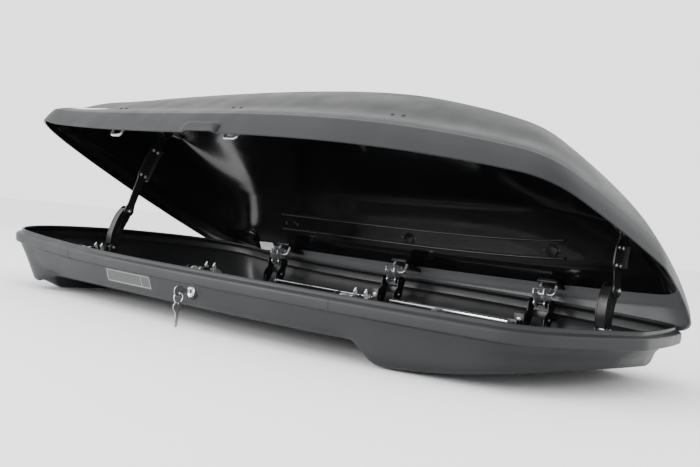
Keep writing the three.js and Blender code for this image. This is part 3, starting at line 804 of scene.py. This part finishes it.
def stay(label, x, base, elbow, anchor, roof):
    base, elbow = np.array(base, float), np.array(elbow, float)
    top = opened(anchor)
    foot_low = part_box(f"stay_foot_{label}")[0].z / MM
    cheek = rounded([(base[0] - 22, foot_low), (base[0] + 22, foot_low),
                     (base[0] + 10, base[1] + 9), (base[0] - 10, base[1] + 9)], 8)
    data = bmesh.new()
    for dx in (-13.5, 13.5):
        put_sheet(data, across(x + dx), cheek, (circle(base, WIRE + 0.6, 16),), 3, 0.5, 0)
    put_block(data, (x - 15, base[0] - 22, foot_low), (x + 15, base[0] + 22, foot_low + 3), 0.6)
    for dy in (-14, 14):
        put_bolt(data, (x, base[0] + dy, foot_low + 3), (0, 0, 1), 4.2, 1)
    fine_piece(f"stay_foot_{label}", data, (black_steel, zinc), "base", "black_steel")

    # Lower arm: a channel pressed from sheet, widest near its elbow lobe.
    arm = bowed(base, elbow, 7)
    half = np.interp(np.linspace(0, 1, len(arm)), [0, 0.3, 0.8, 1], [11, 15, 17, 14])
    data = bmesh.new()
    window = slot_hole(arm[5], arm[8], 2.6)
    for dx in (-11.5, 9.5):
        put_sheet(data, across(x + dx), band(arm, half), (window,), 3, 0.6, 0)
    _, normal = directions(arm)
    back = arm + normal * (half[:, None] - 1.6)
    put_strip(data, back[1:], x - 12, x + 10, 2.4)
    put_rod(data, (x - 18, *base), (x + 18, *base), WIRE, 1)
    put_bolt(data, (x - 13, *elbow), (-1, 0, 0), 4.0, 1)
    name = f"stay_lower_{label}"
    fine_piece(name, data, (black_steel, zinc), name, "black_steel")

    # Upper arm: a curved bar to a flat plate with two pairs of bolts, then a strap to the lid.
    arm = bowed(elbow, top, 9, 26)
    share = np.linspace(0, 1, len(arm))
    half = np.interp(share, [0, 0.08, 0.38, 0.44, 0.78, 0.84, 1], [15, 11, 12, 17, 17, 12, 12])
    data = bmesh.new()
    put_sheet(data, across(x + 14), band(arm, half), (circle(arm[-1], WIRE + 0.6, 16),), 3.6, 0.7, 0)
    put_turned(data, (x + 15.6, *elbow), (1, 0, 0), [(9, 0), (9, 2.6), (8, 3.8), (4, 4.4), (0, 4.6)], 0, 26)
    put_bolt(data, (x + 20, *elbow), (1, 0, 0), 3.6, 1)
    ahead = (arm[-1] - arm[0]) / np.linalg.norm(arm[-1] - arm[0])
    aside = np.array([-ahead[1], ahead[0]])
    flange = arm[10:21] - aside * 15.5
    put_strip(data, flange, x + 13, x + 27, 2.6)
    strap = arm[20:] - aside * 10.5
    put_strip(data, strap, x + 13, x + 17, 2.4)
    for spot in (0.46, 0.76):
        middle = arm[int(spot * 25)]
        for offset in (-8, 8):
            for way in (-1, 1):
                head = middle + aside * offset
                put_bolt(data, (x + 14 + 1.8 * way, *head), (way, 0, 0), 3.0, 1)
    name = f"stay_upper_{label}"
    fine_piece(name, data, (black_steel, zinc), name, "black_steel")

    # Hanger: the seat on the lid, its ear and the pin; drawn shut like every lid piece.
    y, z = anchor
    ear = rounded([(y - 20, roof), (y - 8, z - 8), (y + 8, z - 8), (y + 20, roof)], 5)
    data = bmesh.new()
    put_sheet(data, across(x + 19.5), ear, (), 3, 0.5, 0)
    put_block(data, (x - 10, y - 20, roof - 3), (x + 21, y + 20, roof), 0.7)
    put_rod(data, (x + 9, y, z), (x + 21, y, z), WIRE, 1)
    for dy in (-13, 13):
        put_bolt(data, (x, y + dy, roof - 3), (0, 0, -1), 3.4, 1)
    fine_piece(f"stay_hanger_{label}", data, (black_steel, zinc), "lid", "black_steel")


for label, spec in STAYS.items():
    stay(label, **spec)


# ---------- lock and keys ----------
def lock():
    face = LOCK.y - 6
    axis = (0, -1, 0)
    data = bmesh.new()
    put_turned(data, (LOCK.x, LOCK.y + 14, LOCK.z), axis,
               [(9.9, 4), (9.9, 0), (12.4, 0), (12.6, 1), (12.6, 19.2), (12.2, 20), (11.4, 20.4),
                (10.4, 20.1), (9.9, 19.2), (9.9, 4)], 0, 40)
    recess = [(13.0, 17.5), (13.2, 18.6), (14.6, 19.2), (17.0, 18.4), (18.2, 16.4), (18.2, 12)]
    put_turned(data, (LOCK.x, LOCK.y + 14, LOCK.z), axis, recess, 1, 40)
    fine_piece("lock_housing", data, (chrome, rubber), "base", "chrome")
    data = bmesh.new()
    put_turned(data, (LOCK.x, LOCK.y + 9, LOCK.z), axis,
               [(0, 0), (9.4, 0), (9.4, 15.4), (8.8, 16), (7.6, 15.8), (7.0, 15.2), (3.6, 15.2)], 0, 36)
    slit = rounded([(LOCK.y - 7, LOCK.z - 4.8), (LOCK.y - 5.4, LOCK.z - 4.8),
                    (LOCK.y - 5.4, LOCK.z + 4.8), (LOCK.y - 7, LOCK.z + 4.8)], 0.4, 2)
    for dx in (-2.4, 2.4):
        put_sheet(data, across(LOCK.x + dx), slit, (), 1.4, 0.3, 1)
    fine_piece("lock_cylinder", data, (chrome, black_steel), "lock_cylinder", "chrome")

    bow_y = face - 30
    key_edge = rounded([(LOCK.y + 1, LOCK.z - 3.4), (LOCK.y + 1, LOCK.z + 3.4), (face - 18, LOCK.z + 4.2),
                        (bow_y + 8, LOCK.z + 10.5), (bow_y - 5, LOCK.z + 11.5), (bow_y - 12, LOCK.z + 6),
                        (bow_y - 12, LOCK.z - 6), (bow_y - 5, LOCK.z - 11.5), (bow_y + 8, LOCK.z - 10.5),
                        (face - 18, LOCK.z - 4.2)], 4, 5)
    eye = circle((bow_y, LOCK.z - 5), 3.2, 18)
    data = bmesh.new()
    put_sheet(data, across(LOCK.x), key_edge, (eye,), 2.4, 0.5, 0)
    fine_piece("lock_key", data, (key_steel,), "lock_cylinder", "zinc_steel")

    low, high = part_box("key_ring")
    middle = (low + high) / 2 / MM
    radius = (high.z - low.z) / MM / 2 - 1.0
    data = bmesh.new()
    coils = [(middle.x + 0.55 * math.sin(2 * t), middle.y + radius * math.cos(t),
              middle.z + radius * math.sin(t)) for t in np.linspace(0, 2 * math.pi, 49)[:-1]]
    put_tube(data, coils, 0.95, 0, 10, closed=True)
    fine_piece("key_ring", data, (chrome,), "key_ring", "zinc_steel")

    low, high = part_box("spare_key")
    top, bottom = high.z / MM, low.z / MM
    blade = [(bow_y + 4, top - 22), (bow_y + 4, bottom + 3), (bow_y + 1, bottom), (bow_y - 2, bottom + 1)]
    teeth = []
    for k, depth in enumerate((1.0, 2.2, 0.6, 1.8, 1.2, 2.4)):
        teeth.append((bow_y - 4 + depth, bottom + 4 + 4.4 * k))
        teeth.append((bow_y - 4, bottom + 6.2 + 4.4 * k))
    bow = [(bow_y - 4, top - 22), (bow_y - 10, top - 17), (bow_y - 11, top - 8), (bow_y - 6, top),
           (bow_y + 6, top), (bow_y + 11, top - 8), (bow_y + 10, top - 17)]
    data = bmesh.new()
    hole = circle((bow_y, top - 3.4), 2.3, 14)
    put_sheet(data, across(LOCK.x), rounded(blade + teeth + bow, 1.6, 3), (hole,), 2.2, 0.4, 0)
    fine_piece("spare_key", data, (key_steel,), "spare_key", "zinc_steel")


lock()


# ---------- roof bar clamps ----------
def clamp_knob(name, x, y):
    """Hand wheel: a fluted skirt under a half-round grip that is split by a slot."""
    data = bmesh.new()
    steps = 96
    rows = []
    for radius, z, depth in ((15, 4.6, 0), (15, 11, 0), (24, 12, 0), (25.6, 13.4, 1.6), (25.6, 20, 1.8),
                             (24.4, 22.5, 1.2), (21, 23.6, 0), (12, 24.0, 0)):
        row = []
        for i in range(steps):
            angle = 2 * math.pi * i / steps
            r = radius - depth * max(0, math.cos(12 * angle)) ** 2
            row.append(data.verts.new(Vector((x + r * math.cos(angle), y + r * math.sin(angle), z)) * MM))
        rows.append(row)
    bridge(data, rows)
    close_ends(data, rows)
    dome = [(y + 23 * math.cos(a), 22.8 + 17 * math.sin(a)) for a in np.linspace(0, math.pi, 18)]
    for dx in (-5, 5):
        put_sheet(data, across(x + dx), dome, (), 7, 1.4, 0)
    put_rod(data, (x, y, -14), (x, y, 12), 5, 1)
    fine_piece(name, data, (knob_grey, zinc), name, "knob_plastic")


for x in BAR_STATIONS:
    for y in (-CLAMP_Y, CLAMP_Y):
        clamp_knob(f"clamp_knob_{'rear' if x < 0 else 'front'}_{'near' if y < 0 else 'far'}", x, y)


# ---------- parts that follow the skins ----------
def skin_tree(obj, turn=None):
    points = [(turn @ v.co if turn else v.co) for v in obj.data.vertices]
    return BVHTree.FromPolygons(points, [p.vertices[:] for p in obj.data.polygons])


tub_skin = skin_tree(tub)
lid_skin = skin_tree(lid, lid_turn.inverted())


def touch(tree, start, aim):
    """Point and outward normal where a ray from the start meets the skin, in millimetres."""
    place, normal, _, _ = tree.ray_cast(Vector(start) * MM, Vector(aim).normalized())
    if normal.dot(Vector(aim)) > 0:
        normal = -normal
    return place / MM, normal


def patch(name, tree, origin, u_way, v_way, size, aim, lift, materials, body, slot, *replaced, corner=4):
    """Thin plate laid on a skin: a grid of touch points, raised by the lift, with sides down to the skin."""
    columns, rows = max(4, int(size[0] / 4)), max(4, int(size[1] / 3))
    u_way, v_way = Vector(u_way).normalized(), Vector(v_way).normalized()
    data = bmesh.new()
    grid, base = [], []
    for i in range(columns + 1):
        line, ground = [], []
        for j in range(rows + 1):
            u = size[0] * (i / columns - 0.5)
            v = size[1] * (j / rows - 0.5)
            du = max(0, abs(u) - (size[0] / 2 - corner))
            dv = max(0, abs(v) - (size[1] / 2 - corner))
            if du > 0 and dv > 0:
                shrink = min(1, corner / math.hypot(du, dv))
                u = math.copysign(size[0] / 2 - corner + du * shrink, u)
                v = math.copysign(size[1] / 2 - corner + dv * shrink, v)
            place, normal = touch(tree, Vector(origin) + u_way * u + v_way * v, aim)
            edge = i in (0, columns) or j in (0, rows)
            line.append(data.verts.new((place + normal * (lift * (0.55 if edge else 1))) * MM))
            ground.append(data.verts.new((place + normal * 0.02) * MM) if edge else None)
        grid.append(line)
        base.append(ground)
    for i in range(columns):
        for j in range(rows):
            data.faces.new((grid[i][j], grid[i + 1][j], grid[i + 1][j + 1], grid[i][j + 1]))
    rim = ([(i, 0) for i in range(columns)] + [(columns, j) for j in range(rows)]
           + [(i, rows) for i in range(columns, 0, -1)] + [(0, j) for j in range(rows, 0, -1)])
    for (a, b), (c, d) in zip(rim, rim[1:] + rim[:1]):
        data.faces.new((grid[a][b], grid[c][d], base[c][d], base[a][b]))
    return piece(name, data, materials, body, slot, *replaced)


# Plain label on the tub's near side, and plain badge on the lid's shoulder.
patch("label_plate_fine", tub_skin, (LABEL_PLACE[0], -TUB_RAY_Y, LABEL_PLACE[1]), (1, 0, 0), (0, 0, 1),
      LABEL_SIZE, (0, 1, 0), 0.9, (film,), "base", "label_film", "label_plate", corner=3)
patch("badge_plate_fine", lid_skin, (BADGE_PLACE[0], -LID_RAY_Y, BADGE_PLACE[1]), (1, 0, 0.03), (0, 0.45, 1),
      BADGE_SIZE, (0, 1, -0.35), 1.6, (badge_look,), "lid", "label_film", "badge_plate", corner=6)


def tub_line(data, start, end, count, lift):
    """Fine line on the tub's near side, between two points given as (x, z)."""
    path = []
    for x, z in np.linspace(start, end, count):
        spot, outward = touch(tub_skin, (x, -TUB_RAY_Y, z), (0, 1, 0))
        path.append(spot + outward * lift)
    put_tube(data, path, 0.45, 0, 8)


def label_border():
    """Light line just inside the label's edge, and one that splits off its end."""
    data = bmesh.new()
    reach_x = LABEL_SIZE[0] / 2 - LABEL_MARGIN[0]
    reach_z = LABEL_SIZE[1] / 2 - LABEL_MARGIN[1]
    left, right = LABEL_PLACE[0] - reach_x, LABEL_PLACE[0] + reach_x
    bottom, top = LABEL_PLACE[1] - reach_z, LABEL_PLACE[1] + reach_z
    corners = [(left, bottom), (right, bottom), (right, top), (left, top), (left, bottom)]
    cell = right - LABEL_END_CELL
    lines = list(zip(corners, corners[1:])) + [((cell, bottom), (cell, top))]
    for start, end in lines:
        tub_line(data, start, end, 24, 0.85)
    piece("label_border", data, (film_edge,), "base", "label_film")


label_border()


def inner_wall(x, side, z):
    """Point and normal on the inner wall of the lid."""
    return touch(lid_skin, (x, side * INNER_RAY_Y, z), (0, side, 0))


def dome_head(data, place, normal, radius):
    profile = [(radius, -0.3), (radius, 0.5), (radius * 0.86, 1.3), (radius * 0.5, 1.9), (0, 2.1)]
    put_turned(data, place, normal, profile, 0, 16)


def lid_rivets(label, side):
    """Pairs of rivet heads outside each striker bracket."""
    data = bmesh.new()
    for x in STATIONS:
        for dx in (-13, 13):
            place, normal = touch(lid_skin, (x + dx, side * LID_RAY_Y, RIVET_Z), (0, -side, 0))
            dome_head(data, place, normal, 4.2)
    piece(f"lid_rivets_{label}", data, (rubber,), "lid", "lid_plastic")


def lid_rail(label, side):
    """Two slim rails along the inside of the lid's wall, with a round bracket at each striker."""
    data = bmesh.new()
    for level, radius in LID_RAILS:
        path = []
        for x in np.linspace(STATIONS[0] - 40, STATIONS[2] + 40, 60):
            place, normal = inner_wall(x, side, level)
            path.append(place + normal * radius * 0.6)
        put_tube(data, path, radius, 0, 10)
    for x in STATIONS:
        place, normal = inner_wall(x, side, BRACKET_Z)
        put_turned(data, place - normal * 2, normal, [(17, 0), (17, 3.4), (15.4, 5), (8, 5.8), (0, 6)], 0, 28)
        for dx in (-24, 24):
            put_bolt(data, *inner_wall(x + dx, side, BRACKET_Z), 3.2, 1)
    fine_piece(f"lid_rail_{label}", data, (lid_inside, black_steel), "lid", "black_steel")


def grip(label, side):
    """Finger grip: a hood that grows out of the lid's skirt and fades at both ends."""
    profile = [(0.5, 23), (4, 24.6), (8.4, 23.6), (10.2, 20), (10.6, 14), (9.4, 5), (7.8, 0.6), (5.4, -0.6),
               (3.0, 0.8), (3.2, 6), (0.5, 8)]
    data = bmesh.new()
    rows = []
    for t in np.linspace(-1, 1, 57):
        x = GRIP_X + 63 * t
        swell = (1 - abs(t) ** 7) ** 0.6
        edge = side * float(side_y(x) * (1 + LID_SPREAD / HALF_WIDTH))
        row = []
        for dy, dz in profile:
            inward = -3.5 * max(0, dz) / 27
            reach = inward + dy * (0.25 + 0.75 * swell)
            z = LID_EDGE_Z + float(lid_sheer(x)) + dz * (0.75 + 0.25 * swell)
            row.append(data.verts.new(Vector((x, edge + side * reach, z)) * MM))
        rows.append(row)
    bridge(data, rows)
    close_ends(data, rows)
    fine_piece(f"grip_{label}", data, (lid_outside,), "lid", "lid_plastic")


for label, side in SIDES:
    lid_rivets(label, side)
    lid_rail(label, side)
    grip(label, side)


# ---------- small trim ----------
def trim():
    """Plain sticker, corner boss, seams, wire bracket, side plates, tail feet and floor plugs."""
    patch("lid_sticker", lid_skin, (STICKER_PLACE[0], INNER_RAY_Y, STICKER_PLACE[1]), (1, 0, 0), (0, 0, 1),
          STICKER_SIZE, (0, 1, 0), 0.4, (sticker_white,), "lid", "label_film", corner=1.5)
    data = bmesh.new()
    place, normal = inner_wall(BOSS_PLACE[0], 1, BOSS_PLACE[1])
    put_turned(data, place - normal, normal,
               [(19, 0), (19, 5), (17.6, 8), (14.5, 10.5), (9, 12), (0, 12.6)], 0, 32)
    piece("lid_corner_boss", data, (lid_inside,), "lid", "lid_plastic")
    data = bmesh.new()
    for x in SEAM_STATIONS:
        tub_line(data, (x, RIM_Z - 33), (x, RIM_Z - 13), 8, 0.1)
    piece("tub_seams", data, (rubber,), "base", "base_plastic")
    data = bmesh.new()
    for x in WIRE_BRACKET_STATIONS:
        path = [(x, -96, 9), (x, -96, 44), (x, -92, 48), (x, -66, 48), (x, -62, 44), (x, -62, 9)]
        put_tube(data, path, 1.6, 0, 10)
    piece("rear_wire_bracket", data, (zinc,), "base", "zinc_steel")
    data = bmesh.new()
    for side in (-1, 1):
        for x in STATIONS[1:]:
            y = side * (CLAW_Y - 12)
            edge = [(y - 2, FLOOR_Z + 3), (y + 2, FLOOR_Z + 3), (y + 2, 46), (y - 2, 46)]
            put_sheet(data, across(x - 50), rounded(edge, 0.8, 2), (), 30, 0.5, 0)
            put_bolt(data, (x - 50, y - 2 * side, 30), (0, -side, 0), 4.2, 1)
    piece("post_side_plates", data, (black_steel, zinc), "base", "black_steel")
    data = bmesh.new()
    for x, y in TAIL_FEET:
        place, normal = touch(tub_skin, (x, y, -200), (0, 0, 1))
        put_turned(data, place - normal * 1.0, normal,
                   [(15, 0), (15, 4), (13.5, 7), (8, 8.2), (0, 8.4)], 0, 26)
    piece("tail_feet", data, (rubber,), "base", "pad_rubber")
    data = bmesh.new()
    for x, y in FLOOR_PLUGS:
        place, normal = touch(tub_skin, (x, y, 60), (0, 0, -1))
        dome_head(data, place, normal, 4.5)
    piece("floor_plugs", data, (rubber,), "base", "pad_rubber")


trim()


# ---------- stage, light and camera ----------
def stage():
    mesh = bpy.data.meshes.new("studio_floor")
    half = 14
    z = cad_low.z - 0.001
    corners = [(-half, -half, z), (half, -half, z), (half, half, z), (-half, half, z)]
    mesh.from_pydata(corners, [], [(0, 1, 2, 3)])
    floor = bpy.data.objects.new("studio_floor", mesh)
    bpy.context.scene.collection.objects.link(floor)
    look = Nodes("pale_floor", 0.9)
    look.colour(look.ramp(look.noise(0.6), (0.3, grey(0.86)), (0.7, grey(0.88))))
    mesh.materials.append(look.material)


def area_light(name, place, target, size, power):
    light = bpy.data.lights.new(name, "AREA")
    light.shape = "RECTANGLE"
    light.size, light.size_y = size
    light.energy = power
    obj = bpy.data.objects.new(name, light)
    obj.location = place
    obj.rotation_euler = (Vector(target) - Vector(place)).to_track_quat("-Z", "Y").to_euler()
    bpy.context.scene.collection.objects.link(obj)


WORLD_STRENGTH = 2.3
# Name, place, aim, size in metres and power in watts of each light.
AREA_LIGHTS = (
    ("overhead", (0.3, -0.6, 3.2), (0, 0, 0.2), (3.4, 2.2), 42),
    ("front_left", (-2.6, -3.2, 1.6), (0, 0, 0.2), (1.4, 2.4), 120),
    ("near_low", (0.1, -3.4, 0.75), (0, 0.3, 0.15), (3.2, 0.6), 62),
    ("nose_side", (3.6, 0.6, 1.8), (0.2, 0, 0.2), (1.0, 2.2), 5),
)


def lights():
    world = bpy.data.worlds.new("studio")
    world.use_nodes = True
    world.node_tree.nodes["Background"].inputs["Color"].default_value = (1.0, 1.0, 1.0, 1)
    world.node_tree.nodes["Background"].inputs["Strength"].default_value = WORLD_STRENGTH
    bpy.context.scene.world = world
    for name, place, target, size, power in AREA_LIGHTS:
        area_light(name, place, target, size, power)


CAMERA_PLACE = (1.7893, -1.6924, 0.2295)
CAMERA_YAW = 0.775
CAMERA_PITCH = 0.005
CAMERA_ROLL = 0.106
CAMERA_LENS = 51.98
CAMERA_SHIFT = (-0.0184, -0.0276)


def camera():
    data = bpy.data.cameras.new("camera")
    data.sensor_width = 36
    data.lens = CAMERA_LENS
    data.shift_x, data.shift_y = CAMERA_SHIFT
    ahead = Vector((-math.sin(CAMERA_YAW) * math.cos(CAMERA_PITCH),
                    math.cos(CAMERA_YAW) * math.cos(CAMERA_PITCH), math.sin(CAMERA_PITCH)))
    level = Vector((math.cos(CAMERA_YAW), math.sin(CAMERA_YAW), 0))
    up = level.cross(ahead)
    right = level * math.cos(CAMERA_ROLL) + up * math.sin(CAMERA_ROLL)
    top = up * math.cos(CAMERA_ROLL) - level * math.sin(CAMERA_ROLL)
    turn = Matrix((right, top, -ahead)).transposed().to_4x4()
    obj = bpy.data.objects.new("camera", data)
    obj.matrix_world = Matrix.Translation(CAMERA_PLACE) @ turn
    bpy.context.scene.collection.objects.link(obj)
    bpy.context.scene.camera = obj


stage()
lights()
camera()
